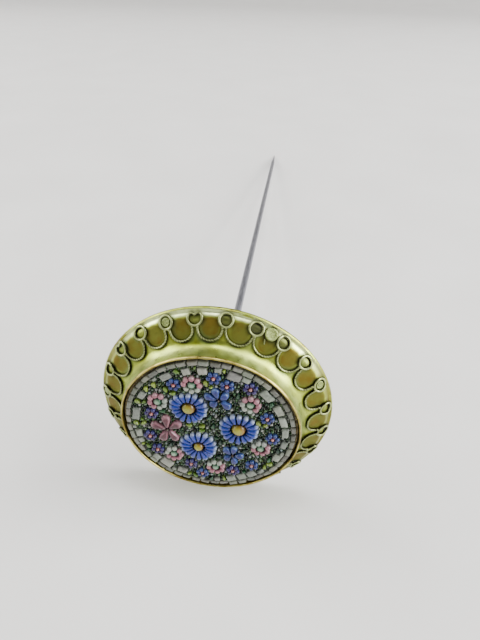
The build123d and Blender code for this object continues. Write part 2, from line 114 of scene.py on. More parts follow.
# Painted shade inside the rings and hearts: the angle round the head where it is deepest, its
# spread, and how it fills a ring.
SHADED_HOLLOWS = math.radians(69)
HOLLOW_SHADE_SPREAD = 0.45
HOLLOW_REACH = 0.68
HOLLOW_BLUR = 0.15
HOLLOW_LEAST = 0.3
# Grime with painted shade round the wires and discs: how far it stays full and how far it then
# fades.
GRIME_SHADE_FROM = 0.12
GRIME_SHADE_REACH = 0.5
DISC_EDGE_POINTS = 60

# Filigree. A seat is how high a wire's middle is over the brim, in radii of the wire.
SCALLOP_WIRE = 0.145
RING_WIRE = 0.145
STUB_WIRE = 0.12
STUB_CLEAR = 0.6
STUB_POINTS = 17
WIRE_SIDES = 12
END_REACH = 1.6
END_BULGE = 0.6
STRAND_PITCH = 0.62
STRAND_REACH = (0.76, 1.02)
GROOVE_SHADE = 0.35
SCALLOP_POINTS = 60
SCALLOP_TURN = 1.3
SCALLOP_LEG = 0.2
SCALLOP_SPLAY = 0.10
SCALLOP_SWAY = 0.03
SCALLOP_SEAT = 0.85
RING_POINTS = 48
RING_WOBBLE = 0.025
RING_SEAT = 0.9
RING_SAG = 0.8
HEART_SIZE = 0.92
HEART_DENT = 0.44
HEART_DENT_WIDTH = 0.45
HEART_POINT = 0.05
DISC_SEGMENTS = 36
DISC_PROFILE = ((0.98, -1.2), (1.0, 0.2), (0.97, 0.8), (0.88, 1.0), (0.7, 0.75), (0.35, 0.7))

# Mosaic. A glass piece's profile is its scale and its height, from its foot to its crown.
OUTLINE_POINTS = 16
PETAL_POINTS = 18
EYE_POINTS = 24
BLOCK_POINTS = 22
DOME = ((1.0, 0.0), (1.0, 0.42), (0.96, 0.58), (0.86, 0.75), (0.68, 0.88), (0.38, 0.97))
PILLOW = (
    (1.0, 0.0), (1.0, 0.55), (0.96, 0.74), (0.87, 0.88),
    (0.7, 0.96), (0.5, 0.985), (0.28, 0.998),
)
ROOT_DEPTH = 0.08
FLANK_SHADE = 0.25
FLANK_TOP = 0.85
PETAL_ROOT = 0.3
BLOCK_RIM = 0.15
BLOCK_UNEVEN = (0.95, 1.03)
CHIP_GRID = 0.04
CHIP_RADII = (0.12, 0.09, 0.07)
CHIP_SIDES = 8
CHIP_UNEVEN = (0.75, 1.0)
CHIP_TOPS = (0.42, 0.62)
CHIP_MARGIN = 0.1
CEMENT_RISE = 0.22
CEMENT_SWELL = 0.10
CEMENT_SCALE = 2.4
CEMENT_RINGS = 150
CEMENT_SEGMENTS = 360


# The head's frame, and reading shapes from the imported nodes


def head_matrix():
    """The head's frame in the row: its origin from the edge wire and its axis from the shank."""
    low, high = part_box("edge_wire")
    mounts = {mount["name"]: mount for mount in frame["record"]["mounts"]}
    outward = -Vector(mounts["shank"]["axis"]).normalized()
    across = Vector((1, 0, 0))
    upward = outward.cross(across)
    matrix = Matrix((across, upward, outward)).transposed().to_4x4()
    matrix.translation = (low + high) / 2
    return matrix


HEAD = head_matrix()
HEAD_INVERSE = HEAD.inverted()


def moved(points, matrix):
    matrix = np.array(matrix)
    return np.asarray(points, float) @ matrix[:3, :3].T + matrix[:3, 3]


def row_points(points):
    """Points in the head's frame, in millimetres, as points in the row, in metres."""
    return moved(np.asarray(points, float) * MM, HEAD)


def head_points(points):
    """Points in the row, in metres, as points in the head's frame, in millimetres."""
    return moved(points, HEAD_INVERSE) / MM


def solids(node):
    """The corner points of each separate solid of a node, in the head's frame."""
    mesh = bmesh.new()
    mesh.from_mesh(frame["nodes"][node].data)
    bmesh.ops.remove_doubles(mesh, verts=mesh.verts, dist=1e-6)
    found, seen = [], set()
    for start in mesh.verts:
        if start in seen:
            continue
        group = [start]
        seen.add(start)
        for corner in group:
            for edge in corner.link_edges:
                other = edge.other_vert(corner)
                if other not in seen:
                    seen.add(other)
                    group.append(other)
        found.append(head_points([corner.co for corner in group]))
    mesh.free()
    return found


def head_box(node):
    """The lowest and highest corners of a node in the head's frame."""
    points = np.vstack(solids(node))
    return points.min(0), points.max(0)


def polar(radius, angle):
    return radius * math.cos(angle), radius * math.sin(angle)


def clamped(value):
    return max(0.0, min(1.0, value))


def round_angles(count):
    """Evenly spaced angles round a full turn."""
    return [FULL_TURN * index / count for index in range(count)]


def unit(vector):
    return vector / np.linalg.norm(vector)


def own_axes(points):
    """A solid's middle, its longest axis, and its shortest axis pointing outwards."""
    low, high = points.min(0), points.max(0)
    middle = points.mean(0)
    _, _, axes = np.linalg.svd(points - middle, full_matrices=False)
    normal = axes[2] if axes[2][2] > 0 else -axes[2]
    return (low + high) / 2, axes[0], normal


# Building meshes

PLAIN = (1, 1, 1)


class Pile:
    """Corners, faces and per-corner values that become one mesh."""

    def __init__(self):
        self.corners, self.faces, self.values = [], [], []

    def add_grid(self, rows, values=None, closed=False):
        """A grid of corners, as a list of equal closed rows, joined by four-sided faces."""
        start = len(self.corners)
        width = len(rows[0])
        for row, row_values in zip(rows, values or [[PLAIN] * width] * len(rows)):
            self.corners.extend(row)
            self.values.extend(row_values)
        for row in range(len(rows) if closed else len(rows) - 1):
            lower = start + row * width
            upper = start + (row + 1) % len(rows) * width
            for column in range(width):
                right = (column + 1) % width
                self.faces.append((lower + column, lower + right, upper + right, upper + column))
        return start

    def add_cap(self, row_start, width, tip, value=PLAIN, flip=False):
        """A fan from one row of corners to a tip."""
        self.corners.append(tip)
        self.values.append(value)
        last = len(self.corners) - 1
        for column in range(width):
            pair = (row_start + column, row_start + (column + 1) % width)
            self.faces.append((pair[1], pair[0], last) if flip else (*pair, last))

    def build(self, name, points, material):
        """A smooth object with its corners at the points."""
        mesh = bpy.data.meshes.new(name)
        mesh.from_pydata(points, [], self.faces)
        mesh.polygons.foreach_set("use_smooth", [True] * len(mesh.polygons))
        mesh.materials.append(material)
        built = bpy.data.objects.new(name, mesh)
        bpy.context.scene.collection.objects.link(built)
        return built

    def make(self, name, attribute, material, replaced):
        """The finished piece, riding on the root body, with its values as a named attribute."""
        piece = self.build(name, [tuple(point) for point in row_points(self.corners)], material)
        mesh = piece.data
        if attribute:
            values = np.asarray(self.values, np.float32)
            colours = np.ones((len(values), 4), np.float32)
            colours[:, : values.shape[1]] = values
            layer = mesh.color_attributes.new(attribute, "FLOAT_COLOR", "POINT")
            layer.data.foreach_set("color", colours.ravel())
        mesh.validate()
        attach(piece, "root")
        if replaced:
            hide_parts(*replaced)


def wire_wear_and_shade(height):
    """How pale a wire is, from the height on its section (1 is its top): worn and given a painted
    highlight on top, painted shade on its sides.
    """
    return 1.15 * max(0.0, height) ** 2


def add_tube(pile, path, normals, radius, closed=False, strands=0, ends=1.0):
    """A wire along a path. strands makes it a twist of that many, and ends swells its two ends."""
    groove, ridge = STRAND_REACH
    path = np.asarray(path, float)
    count = len(path)
    if closed:
        ahead = np.roll(path, -1, axis=0) - np.roll(path, 1, axis=0)
    else:
        ahead = np.gradient(path, axis=0)
    steps = np.linalg.norm(np.diff(path, axis=0), axis=1)
    travelled = np.concatenate([[0], np.cumsum(steps)])
    rows, values = [], []
    for index in range(count):
        forward = unit(ahead[index])
        side = unit(np.cross(normals[index], forward))
        up = np.cross(forward, side)
        swell = 1.0
        if not closed:
            near_end = min(travelled[index], travelled[-1] - travelled[index])
            swell = 1 + (ends - 1) * math.exp(-((near_end / (END_REACH * radius)) ** 2))
        row, row_values = [], []
        for angle in round_angles(WIRE_SIDES):
            reach = radius * swell
            crest = 1.0
            if strands:
                twist = strands / 2 * (angle - FULL_TURN * travelled[index] / STRAND_PITCH)
                crest = abs(math.cos(twist))
                reach *= groove + (ridge - groove) * crest
            row.append(path[index] + reach * (math.cos(angle) * side + math.sin(angle) * up))
            # Painted shade in the twist's grooves and down the wire's sides, and a worn top with a
            # painted highlight.
            shade = GROOVE_SHADE + (1 - GROOVE_SHADE) * crest
            row_values.append((wire_wear_and_shade(math.sin(angle)) * shade,) * 3)
        rows.append(row)
        values.append(row_values)
    start = pile.add_grid(rows, values, closed)
    if not closed:
        bulge = END_BULGE * radius * ends
        tip_value = (wire_wear_and_shade(0.5),) * 3
        pile.add_cap(start, WIRE_SIDES, path[0] - bulge * unit(ahead[0]), tip_value, flip=True)
        last = start + (count - 1) * WIRE_SIDES
        pile.add_cap(last, WIRE_SIDES, path[-1] + bulge * unit(ahead[-1]), tip_value)


# Materials


class Shader:
    """A node material round one Principled shader."""

    def __init__(self, name, **fixed):
        self.material = bpy.data.materials.new(name)
        self.material.use_nodes = True
        self.tree = self.material.node_tree
        self.surface = self.tree.nodes["Principled BSDF"]
        for socket, value in fixed.items():
            self.surface.inputs[socket.replace("_", " ")].default_value = value

    def node(self, kind, settings=None, inputs=None):
        """A new node. Inputs are values, or other nodes' outputs to be linked."""
        made = self.tree.nodes.new(kind)
        for name, value in (settings or {}).items():
            setattr(made, name, value)
        for name, value in (inputs or {}).items():
            socket = made.inputs[name]
            if isinstance(value, bpy.types.NodeSocket):
                self.tree.links.new(value, socket)
            else:
                socket.default_value = (*value, 1) if socket.type == "RGBA" else value
        return made

    def noise(self, scale, detail, stretch=(1, 1, 1)):
        """Noise between about 0.3 and 0.7, with scale features to the metre."""
        point = self.node("ShaderNodeTexCoord").outputs["Object"]
        place = self.node("ShaderNodeMapping", inputs={"Vector": point, "Scale": stretch})
        inputs = {"Vector": place.outputs[0], "Scale": scale, "Detail": detail, "Roughness": 0.55}
        return self.node("ShaderNodeTexNoise", inputs=inputs).outputs[0]

    def ramp(self, factor, low, high, start=0.0, end=1.0):
        """A factor stretched so that low gives start and high gives end."""
        inputs = {"Value": factor, "From Min": low, "From Max": high}
        inputs.update({"To Min": start, "To Max": end})
        return self.node("ShaderNodeMapRange", {"clamp": True}, inputs).outputs[0]

    def mix(self, factor, first, second):
        """Two colours mixed by a factor."""
        inputs = {0: factor, 6: first, 7: second}
        return self.node("ShaderNodeMix", {"data_type": "RGBA"}, inputs).outputs[2]

    def math(self, operation, first, second):
        inputs = {0: first, 1: second}
        return self.node("ShaderNodeMath", {"operation": operation}, inputs).outputs[0]

    def attribute(self, name):
        return self.node("ShaderNodeAttribute", {"attribute_name": name})

    def channels(self, name):
        """The three numbers that a mesh holds at each corner."""
        colour = self.attribute(name).outputs["Color"]
        return self.node("ShaderNodeSeparateColor", inputs={"Color": colour}).outputs

    def bump(self, height, strength, depth, below=None):
        """A bump, in metres of depth, over another bump or none."""
        inputs = {"Strength": strength, "Distance": depth, "Height": height}
        if below:
            inputs["Normal"] = below
        return self.node("ShaderNodeBump", inputs=inputs).outputs[0]

    def finish(self, colour, roughness, normal):
        for name, output in (("Base Color", colour), ("Roughness", roughness), ("Normal", normal)):
            self.tree.links.new(output, self.surface.inputs[name])
        return self.material


# Colours of the gilding, of the dirt on it, of the shade, highlights and reflection painted on it,
# and of the wire
GOLD_DEEP = (0.21, 0.24, 0.014)
GOLD_PALE = (0.48, 0.58, 0.1)
# Pale gilding, rubbed and with a painted highlight
GOLD_RUBBED_HIGHLIGHT = (0.86, 0.98, 0.5)
GOLD_WARM = (0.125, 0.074, 0.012)
GOLD_OLIVE = (0.12, 0.118, 0.022)
# Tarnish in specks, and painted shade round the wires
TARNISH_AND_SHADE = (0.03, 0.026, 0.008)
VERDIGRIS = (0.16, 0.27, 0.1)
# Painted shade inside the rings and hearts
HOLLOW_SHADE = (0.055, 0.055, 0.035)
# The wire: painted shade on its sides and in its grooves, and its worn top with a painted highlight
WIRE_SHADE = (0.02, 0.019, 0.008)
WIRE_WORN_HIGHLIGHT = (0.37, 0.42, 0.17)


def worn_gold(shader, pale):
    """Gilding rubbed unevenly to brass: its colour, its roughness and its bump."""
    cloud = shader.ramp(shader.noise(260, 6), 0.35, 0.65)
    colour = shader.mix(cloud, GOLD_DEEP, GOLD_PALE)
    colour = shader.mix(pale, colour, GOLD_PALE)
    speckle = shader.ramp(shader.noise(2600, 3), 0.60, 0.72, 0, 0.45)
    colour = shader.mix(speckle, colour, TARNISH_AND_SHADE)
    roughness = shader.ramp(shader.noise(900, 6), 0.3, 0.7, 0.24, 0.44)
    dents = shader.bump(shader.noise(420, 2), 0.25, 0.00008)
    grain = shader.bump(shader.noise(7000, 3, stretch=(1, 1, 0.25)), 0.25, 0.00001, dents)
    return colour, roughness, grain


def brass_material(name, pale):
    """Gilt brass without a mesh attribute, with brown patches, for the plain turned parts."""
    shader = Shader(name, Metallic=1.0)
    colour, roughness, grain = worn_gold(shader, pale)
    patches = shader.ramp(shader.noise(480, 5), 0.42, 0.66, 0.1, 0.8)
    colour = shader.mix(patches, colour, GOLD_WARM)
    return shader.finish(colour, roughness, grain)


def brim_material():
    """Gilt brass. The mesh gives dirt with painted shade round the wires, painted shade in the
    hollows, painted brown as reflection and shade, and rubbing with painted highlights.
    """
    shader = Shader("gilt_brim", Metallic=1.0)
    colour, roughness, grain = worn_gold(shader, 0.15)
    grime_and_shade, hollow_shade, brown_reflection_and_shade = shader.channels("patina_and_light")[:3]
    # Rubbing with painted highlights on the top of the outer bend and beside the lip.
    rubbed = shader.attribute("patina_and_light").outputs["Alpha"]
    uneven = shader.ramp(shader.noise(420, 5), 0.34, 0.56, 0.4, 1.0)
    colour = shader.mix(shader.math("MULTIPLY", rubbed, uneven), colour, GOLD_RUBBED_HIGHLIGHT)
    brown = shader.mix(shader.ramp(shader.noise(500, 5), 0.42, 0.62), GOLD_OLIVE, GOLD_WARM)
    # Painted brown: a red surface's reflection inside the scallops, and shade on the outer bend away
    # from its top.
    colour = shader.mix(shader.math("MULTIPLY", brown_reflection_and_shade, 0.9), colour, brown)
    patches = shader.ramp(shader.noise(330, 5), 0.50, 0.64, 0.0, 0.75)
    colour = shader.mix(shader.math("MULTIPLY", patches, grime_and_shade), colour, VERDIGRIS)
    # Grime with painted shade: the brass goes nearly black close round each wire and disc.
    dark = shader.ramp(shader.math("POWER", grime_and_shade, 1.6), 0.0, 1.0, 0.0, 0.96)
    colour = shader.mix(dark, colour, TARNISH_AND_SHADE)
    # Painted shade inside the rings and hearts.
    colour = shader.mix(shader.math("MULTIPLY", hollow_shade, 0.85), colour, HOLLOW_SHADE)
    dull = shader.math("MAXIMUM", grime_and_shade, brown_reflection_and_shade)
    roughness = shader.math("ADD", roughness, shader.math("MULTIPLY", dull, 0.2))
    return shader.finish(colour, roughness, grain)


def wire_material():
    """Wire with a pale top, worn and given a painted highlight, and dark sides of painted shade. The
    mesh gives how pale it is.
    """
    shader = Shader("gilt_wire_worn_shaded", Metallic=1.0)
    wear_and_shade = shader.channels("wear_and_shade")[0]
    uneven = shader.ramp(shader.noise(1500, 4), 0.35, 0.65, -0.40, 0.15)
    wear_and_shade = shader.math("ADD", wear_and_shade, uneven)
    # Dark painted shade on the sides, and a pale worn top with a painted highlight.
    colour = shader.mix(wear_and_shade, WIRE_SHADE, WIRE_WORN_HIGHLIGHT)
    roughness = shader.ramp(shader.noise(2500, 4), 0.3, 0.7, 0.25, 0.5)
    grain = shader.bump(shader.noise(5000, 3), 0.3, 0.00002)
    return shader.finish(colour, roughness, grain)


def back_material():
    """Brass turned on a lathe, with rings of tool marks, browner round the socket and the edge."""
    shader = Shader("gilt_back", Metallic=1.0)
    colour, roughness, grain = worn_gold(shader, 0.2)
    point = shader.node("ShaderNodeTexCoord").outputs["Object"]
    turned = {"Vector": point, "Location": HEAD.translation, "Rotation": HEAD.to_euler()}
    place = shader.node("ShaderNodeMapping", {"vector_type": "TEXTURE"}, turned).outputs[0]
    flat = shader.node("ShaderNodeVectorMath", {"operation": "MULTIPLY"}, {0: place, 1: (1, 1, 0)})
    length = shader.node("ShaderNodeVectorMath", {"operation": "LENGTH"}, {0: flat.outputs[0]})
    reach = length.outputs["Value"]
    uneven = shader.ramp(shader.noise(300, 5), 0.3, 0.7, -0.002, 0.002)
    reach = shader.math("ADD", reach, uneven)
    edge = shader.ramp(reach, 0.0085, 0.0135, 0.15, 0.9)
    socket = shader.ramp(reach, 0.0015, 0.0045, 0.8, 0.0)
    brown = shader.mix(shader.ramp(shader.noise(700, 6), 0.4, 0.62), GOLD_OLIVE, GOLD_WARM)
    colour = shader.mix(shader.math("MAXIMUM", edge, socket), colour, brown)
    settings = {"wave_type": "RINGS", "rings_direction": "Z"}
    inputs = {"Vector": place, "Scale": 900, "Distortion": 1.5, "Detail": 3, "Detail Scale": 2}
    marks = shader.node("ShaderNodeTexWave", settings, inputs).outputs["Fac"]
    return shader.finish(colour, roughness, shader.bump(marks, 0.3, 0.00002, grain))


def lip_material():
    """Warm rubbed brass, darker where polish has collected."""
    shader = Shader("lip_brass_warm", Metallic=1.0)
    cloud = shader.ramp(shader.noise(700, 6), 0.38, 0.62)
    colour = shader.mix(cloud, (0.2, 0.15, 0.03), (0.5, 0.44, 0.12))
    roughness = shader.ramp(shader.noise(1500, 4), 0.3, 0.7, 0.25, 0.45)
    return shader.finish(colour, roughness, shader.bump(shader.noise(1800, 3), 0.3, 0.00004))


def disc_material():
    """The pale pitted metal of the small discs."""
    shader = Shader("pitted_disc", Metallic=1.0)
    pits = shader.noise(5200, 3)
    colour = shader.mix(shader.ramp(pits, 0.35, 0.6), (0.14, 0.17, 0.05), (0.3, 0.36, 0.13))
    roughness = shader.ramp(pits, 0.3, 0.7, 0.55, 0.35)
    return shader.finish(colour, roughness, shader.bump(pits, 0.6, 0.00004))


def tray_material():
    """Dark brown, matte brass in the groove beside the glass."""
    shader = Shader("tray_brass_dark", Metallic=0.6)
    dirt = shader.noise(2100, 5)
    colour = shader.mix(shader.ramp(dirt, 0.35, 0.65), (0.06, 0.042, 0.018), (0.2, 0.155, 0.065))
    roughness = shader.ramp(dirt, 0.3, 0.7, 0.75, 0.55)
    return shader.finish(colour, roughness, shader.bump(dirt, 0.5, 0.00005))


def cement_material():
    """Dark matte cement with dust in it."""
    shader = Shader("mosaic_cement")
    dust = shader.noise(4200, 5)
    colour = shader.mix(shader.ramp(dust, 0.4, 0.7), (0.008, 0.01, 0.007), (0.045, 0.05, 0.034))
    roughness = shader.ramp(dust, 0.3, 0.7, 0.95, 0.75)
    return shader.finish(colour, roughness, shader.bump(dust, 0.8, 0.00008))


def steel_material():
    """Darkened steel wire: fine marks along it and a few brown specks."""
    shader = Shader("pin_steel_dark", Metallic=1.0)
    streaks = shader.noise(60, 5, stretch=(90, 4, 90))
    colour = shader.mix(shader.ramp(streaks, 0.3, 0.7), (0.16, 0.165, 0.19), (0.3, 0.305, 0.34))
    specks = shader.ramp(shader.noise(1300, 6), 0.66, 0.74, 0, 0.7)
    colour = shader.mix(specks, colour, (0.16, 0.085, 0.045))
    roughness = shader.ramp(streaks, 0.3, 0.7, 0.30, 0.48)
    return shader.finish(colour, roughness, shader.bump(streaks, 0.3, 0.00003))


def glass_material():
    """Opaque coloured glass with a fire-polished skin. The mesh gives the colour."""
    shader = Shader("mosaic_glass", Coat_Weight=0.25, Coat_Roughness=0.1, Specular_IOR_Level=0.3)
    tint = shader.attribute("tint").outputs["Color"]
    cloud = shader.ramp(shader.noise(3200, 3), 0.3, 0.7, 0.2, 0.48)
    colour = shader.mix(cloud, tint, (0.012, 0.018, 0.024))
    roughness = shader.ramp(shader.noise(1800, 3), 0.3, 0.7, 0.12, 0.34)
    return shader.finish(colour, roughness, shader.bump(shader.noise(2400, 2), 0.35, 0.00006))


def floor_material():
    shader = Shader("pale_floor")
    mottle = shader.noise(35, 6)
    colour = shader.mix(shader.ramp(mottle, 0.3, 0.7), (0.63, 0.62, 0.6), (0.67, 0.66, 0.64))
    roughness = shader.ramp(mottle, 0.3, 0.7, 0.6, 0.7)
    return shader.finish(colour, roughness, shader.bump(shader.noise(1500, 3), 0.08, 0.00005))


# The brim


def drop(tree, point, direction=(0, 0, -1)):
    """Where a ray meets a surface: the place and the normal against the ray, or None."""
    place, normal, _, _ = tree.ray_cast(Vector(point), Vector(direction))
    if place is None:
        return None
    normal = np.array(normal)
    return np.array(place), normal if normal @ np.asarray(direction, float) < 0 else -normal


def brim_profile():
    """Radius and height from the end of the cove to where the brim is soldered to the edge."""
    _, edge_high = head_box("edge_wire")
    rim_wire = edge_high[2]
    rim_radius = edge_high[0] - rim_wire
    mesh = bmesh.new()
    mesh.from_mesh(frame["nodes"]["brim_plate"].data)
    mesh.transform(Matrix.Scale(1 / MM, 4) @ HEAD_INVERSE)
    brim = BVHTree.FromBMesh(mesh)
    mesh.free()
    radius = COVE_END
    profile = []
    while True:
        found = drop(brim, (radius, 0, RAY_HEIGHT))
        if found is None or radius > rim_radius - SOLDER_GAP:
            break
        profile.append((radius, found[0][2]))
        steepness = abs(found[1][2])
        radius += BRIM_STEP * max(0.3, steepness)
    for angle in SOLDER_TURNS:
        across, height = polar(SOLDER_LIFT * rim_wire, math.radians(angle))
        profile.append((rim_radius + across, height))
    return profile


def cove_profile(brim):
    """Radius and height down the collar: straight at the top, then curving out onto the brim."""
    wall = head_box("bezel_lip")[1][0]
    top = head_box("bezel_collar")[1][2]
    start, end = np.array((wall, top)), np.array(brim[0])
    along = unit(np.array(brim[1]) - end)
    upper = start - np.array((0, COVE_PULL[0]))
    lower = end - COVE_PULL[1] * along
    profile = []
    for part in np.linspace(0, 1, COVE_STEPS):
        rest = 1 - part
        point = rest**3 * start + 3 * rest**2 * part * upper
        point = point + 3 * rest * part**2 * lower + part**3 * end
        profile.append(tuple(point))
    return profile


def turned_tree(profile, segments=720):
    """A search tree of a surface turned from a profile."""
    points, faces = [], []
    for column, turn in enumerate(round_angles(segments)):
        points += [(*polar(radius, turn), height) for radius, height in profile]
        here, there = column * len(profile), (column + 1) % segments * len(profile)
        for row in range(len(profile) - 1):
            faces.append((here + row, here + row + 1, there + row + 1, there + row))
    return BVHTree.FromPolygons(points, faces)


BRIM_PROFILE = brim_profile()
COVE_PROFILE = cove_profile(BRIM_PROFILE)
FACE = turned_tree(COVE_PROFILE + BRIM_PROFILE[1:])


def dent(x, y):
    """The hand-worked unevenness of the sheet."""
    return DENT_DEPTH * noise.noise(Vector((x * DENT_SCALE, y * DENT_SCALE, 1.7)))


def wire_paths():
    """The middle lines of every wire on the brim, with the surface normals along them."""
    scallops = [scallop_path(points) for points in solids("scallop_wires")]
    rings = [ring_path(points, lambda turn: 1) for points in solids("ring_wires")]
    hearts = [ring_path(points, heart) for points in solids("heart_wires")]
    return scallops, rings, hearts


def scallop_path(points):
    """A horseshoe on the brim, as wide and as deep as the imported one, whose legs lean outwards."""
    middle = (points.min(0) + points.max(0)) / 2
    angle = math.atan2(middle[1], middle[0])
    along = points[:, 0] * math.cos(angle) + points[:, 1] * math.sin(angle)
    aside = points[:, 1] * math.cos(angle) - points[:, 0] * math.sin(angle)
    inner = along.min() + SCALLOP_WIRE
    outer = along.max() + SCALLOP_LEG
    bend = aside.max() - SCALLOP_WIRE
    leg = outer - inner - bend
    quarter = math.pi / 2
    path, normals = [], []
    for index in range(SCALLOP_POINTS + 1):
        part = index / SCALLOP_POINTS * 2 - 1
        turn = part * SCALLOP_TURN * quarter
        reach = inner + bend * (1 - math.cos(turn))
        lateral = bend * math.sin(turn)
        if abs(turn) > quarter:
            over = (abs(turn) / quarter - 1) / (SCALLOP_TURN - 1)
            reach = inner + bend + leg * over
            lateral = math.copysign(bend + SCALLOP_SPLAY * math.sin(over * quarter), part)
        lateral *= 1 + SCALLOP_SWAY * math.sin(3 * part + angle * 5)
        azimuth = angle + lateral / reach
        place, normal = drop(FACE, (*polar(reach, azimuth), RAY_HEIGHT))
        path.append(place + normal * SCALLOP_SEAT * SCALLOP_WIRE)
        normals.append(normal)
    return path, normals


def heart(turn):
    """How far a round heart reaches from its middle. Its dent is towards the rim."""
    aside = min(turn, FULL_TURN - turn)
    dented = HEART_DENT * math.exp(-((aside / HEART_DENT_WIDTH) ** 2))
    return HEART_SIZE - dented - HEART_POINT * math.cos(turn)


def ring_frame(points):
    """A ring's middle, its outward and sideways directions and its normal."""
    middle, _, normal = own_axes(points)
    outward = np.array([middle[0], middle[1], 0.0])
    outward = unit(outward - normal * (outward @ normal))
    return middle, outward, np.cross(normal, outward), normal


def ring_path(points, shape):
    """A closed path, bent down towards the brim. shape gives its reach from the angle."""
    middle, outward, sideways, normal = ring_frame(points)
    bend = np.abs((points - middle) @ sideways).max() - RING_WIRE
    path = []
    for turn in round_angles(RING_POINTS):
        x, y = polar(shape(turn), turn)
        wobble = 1 + RING_WOBBLE * math.sin(2 * turn + middle[0])
        place = middle + bend * wobble * (x * outward + y * sideways)
        below = drop(FACE, place + normal, -normal)
        if below is not None:
            gap = (place - below[0]) @ normal - RING_SEAT * RING_WIRE
            place = place - RING_SAG * gap * normal
        path.append(place)
    return path, [normal] * RING_POINTS


def make_wires(scallops, rings, hearts):
    """The scallops of twisted wire, the plain rings and the hearts."""
    material = wire_material()
    twist, ring = {"strands": 2, "ends": 1.3}, {"closed": True}
    for name, paths, node, radius, form in (
        ("scallop_wires_twisted", scallops, "scallop_wires", SCALLOP_WIRE, twist),
        ("ring_wires_worn_shaded", rings, "ring_wires", RING_WIRE, ring),
        ("heart_wires_worn_shaded", hearts, "heart_wires", RING_WIRE, ring),
    ):
        pile = Pile()
        for path, normals in paths:
            add_tube(pile, path, normals, radius, **form)
        pile.make(name, "wear_and_shade", material, [node])
    make_stubs(rings, material)


def make_stubs(rings, material):
    """The short ends of wire beside the larger disc, which stop where they meet a ring."""
    middles = [np.mean(path, axis=0) for path, _ in rings]
    pile = Pile()
    for points in solids("trefoil_wires"):
        middle, axis, normal = own_axes(points)
        half = np.abs((points - middle) @ axis).max()
        path = []
        for part in np.linspace(-1, 1, STUB_POINTS):
            place = middle + part * half * axis
            if min(math.dist(place, ring) for ring in middles) > STUB_CLEAR:
                path.append(place)
        add_tube(pile, path, [normal] * len(path), STUB_WIRE, ends=0.7)
    pile.make("trefoil_wire_ends", "wear_and_shade", material, ["trefoil_wires"])


def make_tree(points):
    tree = kdtree.KDTree(len(points))
    for index, point in enumerate(points):
        tree.insert(Vector(point), index)
    tree.balance()
    return tree


def inside_scallop(x, y, scallops):
    """How far inside the nearest scallop a place is, from 0 on its wire or outside it to 1."""
    radius, angle = math.hypot(x, y), math.atan2(y, x)
    best = 0.0
    for middle in scallops:
        aside = radius * math.remainder(angle - middle, FULL_TURN)
        if abs(aside) < SCALLOP_INSIDE:
            below = max(0.0, SCALLOP_MIDDLE - radius)
            above = SCALLOP_FADE * max(0.0, radius - SCALLOP_TOP)
            inside = SCALLOP_INSIDE - math.hypot(aside, below + above)
            best = max(best, inside / SCALLOP_BLUR)
    return min(1.0, best)


def edge_highlight_and_shade(radius, angle):
    """How much of the outer bend is pale at its top, rubbed with a painted highlight, and how much
    is painted brown as shade elsewhere.
    """
    bend = clamped((radius - RUBBED_HIGHLIGHT_FROM) / RUBBED_HIGHLIGHT_BLUR)
    side = math.remainder(angle - RUBBED_HIGHLIGHT_TOP, FULL_TURN)
    share = math.exp(-((side / RUBBED_HIGHLIGHT_SPREAD) ** 4))
    return bend * share, EDGE_BROWN_SHADE * bend * (1 - share)


def brim_patina_and_light(scallops, rings, hearts):
    """A function from a place on the face to its dirt with painted shade, painted shade in hollows,
    painted brown reflection and shade, and rubbing with a painted highlight.
    """
    edges = [points[:: len(points) // DISC_EDGE_POINTS + 1] for points in solids("trefoil_disc")]
    lines = [path for path, _ in scallops + rings + hearts] + edges
    wires = make_tree([point for line in lines for point in line])
    hollows = make_tree([np.mean(path, axis=0) for path, _ in rings + hearts])
    backs = [path[len(path) // 2] for path, _ in scallops]
    middles = [math.atan2(back[1], back[0]) for back in backs]
    lip_radius = COVE_PROFILE[0][0]

    def patina_and_light(point, radius, angle):
        distance = wires.find(point)[2]
        # Grime and painted shade, strongest beside a wire.
        grime_and_shade = clamped(1 - (distance - GRIME_SHADE_FROM) / GRIME_SHADE_REACH)
        # Painted shade inside the rings and hearts, deepest in those round one angle.
        nearest_hollow, _, inside = hollows.find(point)
        depth = clamped((HOLLOW_REACH - inside) / HOLLOW_BLUR)
        aside = math.atan2(nearest_hollow[1], nearest_hollow[0]) - SHADED_HOLLOWS
        dark = math.exp(-((aside / HOLLOW_SHADE_SPREAD) ** 2))
        hollow_shade = depth * (HOLLOW_LEAST + (1 - HOLLOW_LEAST) * dark)
        # The bend's top is pale, rubbed with a painted highlight; elsewhere it is painted brown as
        # shade.
        rubbed, brown_shade = edge_highlight_and_shade(radius, angle)
        # Painted brown, as a reflection inside the scallops and as shade on the bend.
        brown_reflection_and_shade = max(brown_shade, inside_scallop(point[0], point[1], middles))
        # A painted highlight on the cove beside the lip.
        near_lip = LIP_RUBBED_HIGHLIGHT * math.exp(-(((radius - lip_radius) / LIP_BLUR) ** 2))
        return grime_and_shade, hollow_shade, brown_reflection_and_shade, max(near_lip, (1 - depth) * rubbed)

    return patina_and_light


def make_face(scallops, rings, hearts):
    """The collar's cove and the brim, slightly uneven, with their dirt and verdigris, painted shade,
    painted reflection and painted highlights.
    """
    patina_and_light = brim_patina_and_light(scallops, rings, hearts)
    material = brim_material()
    for name, profile, node in (
        ("collar_cove", COVE_PROFILE, "bezel_collar"),
        ("brim_shell", BRIM_PROFILE, "brim_plate"),
    ):
        rows, values = [], []
        for radius, height in profile:
            row, row_values = [], []
            for angle in round_angles(BRIM_SEGMENTS):
                x, y = polar(radius, angle)
                point = (x, y, height + dent(x, y))
                row.append(point)
                row_values.append(patina_and_light(point, radius, angle))
            rows.append(row)
            values.append(row_values)
        pile = Pile()
        pile.add_grid(rows, values)
        pile.make(name, "patina_and_light", material, [node])


